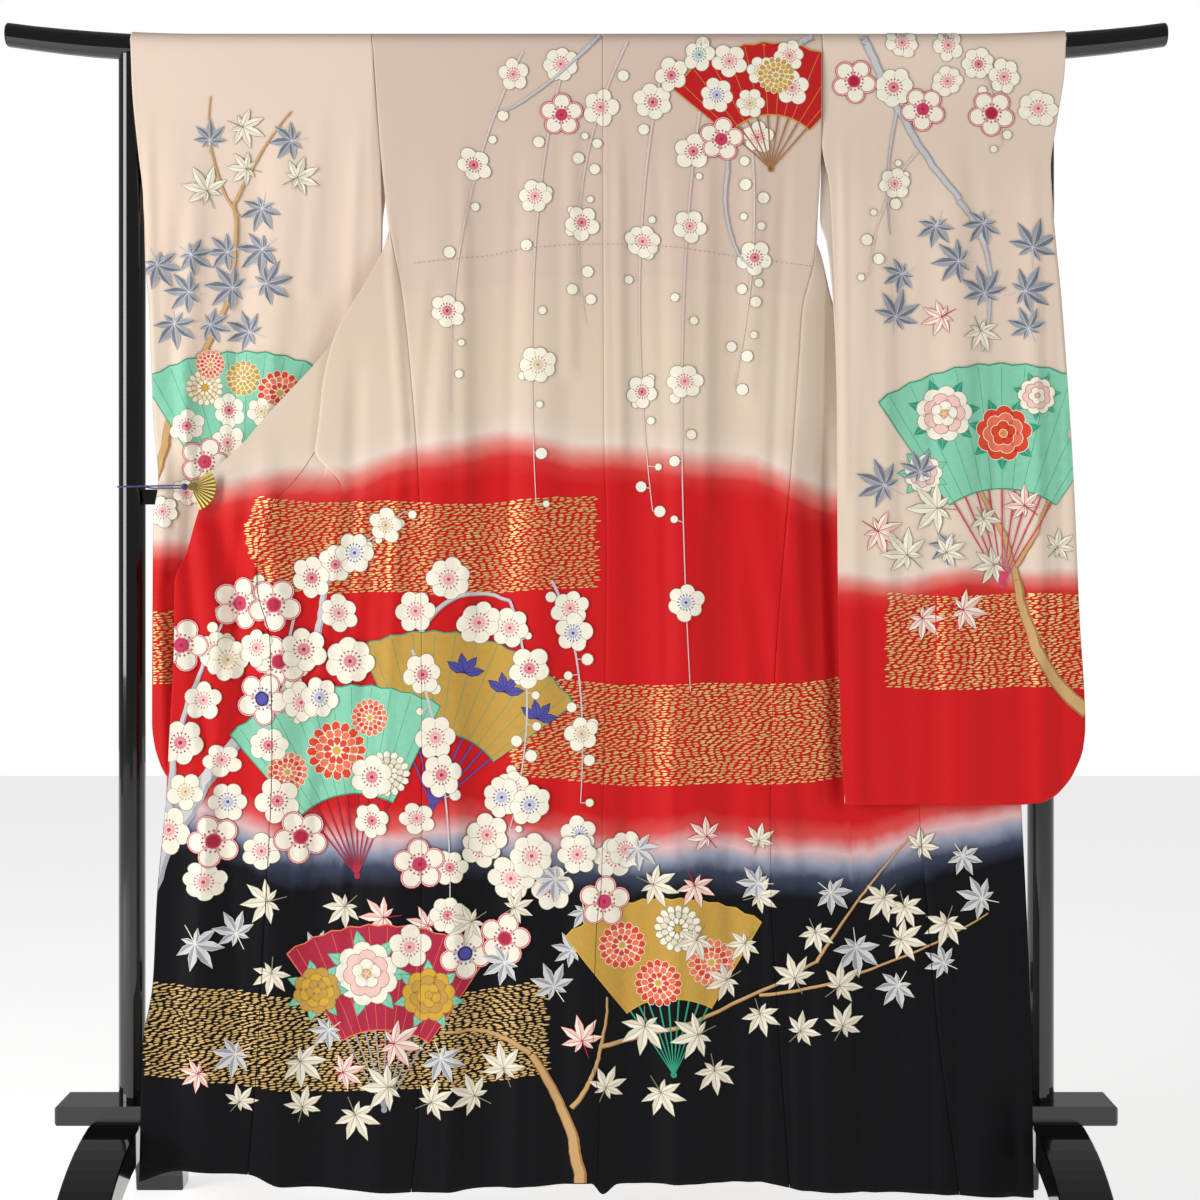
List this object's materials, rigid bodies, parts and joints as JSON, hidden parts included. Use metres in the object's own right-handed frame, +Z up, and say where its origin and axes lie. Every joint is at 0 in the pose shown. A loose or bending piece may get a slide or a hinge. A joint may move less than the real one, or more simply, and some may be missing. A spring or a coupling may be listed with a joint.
{
  "type": "furisode kimono on a kimono stand",
  "caption": "Long-sleeved silk kimono with plum, maple and fan motifs, spread back to front over a black lacquered stand, its left front held open by a fan clip.",
  "frame": {"origin": "on the floor, under the middle of the stand", "axes": "+X along the stand's top rail, +Y from the garment's shown back towards the rear of the stand, +Z up"},
  "size_m": [1.7, 0.724, 1.7964],
  "materials": {
    "silk_body": "dyed silk crepe, soft sheen",
    "silk_collar": "dyed silk crepe, soft sheen",
    "silk_sleeve": "dyed silk crepe, soft sheen",
    "lacquer": "black gloss lacquer",
    "brass": "polished, pressed into pleats",
    "cord": "thin twisted silk cord"
  },
  "bodies": {
    "root": {"body_left": "silk_body", "body_right": "silk_body", "okumi_left": "silk_body", "okumi_right": "silk_body", "collar": "silk_collar", "sleeve_left": "silk_sleeve", "sleeve_right": "silk_sleeve", "rail": "lacquer", "post_left": "lacquer", "post_right": "lacquer", "middle_rail": "lacquer", "base_board": "lacquer", "foot_left": "lacquer", "foot_right": "lacquer", "clip": "brass", "cord": "cord", "cord_knot": "cord"}
  },
  "joints": []
}
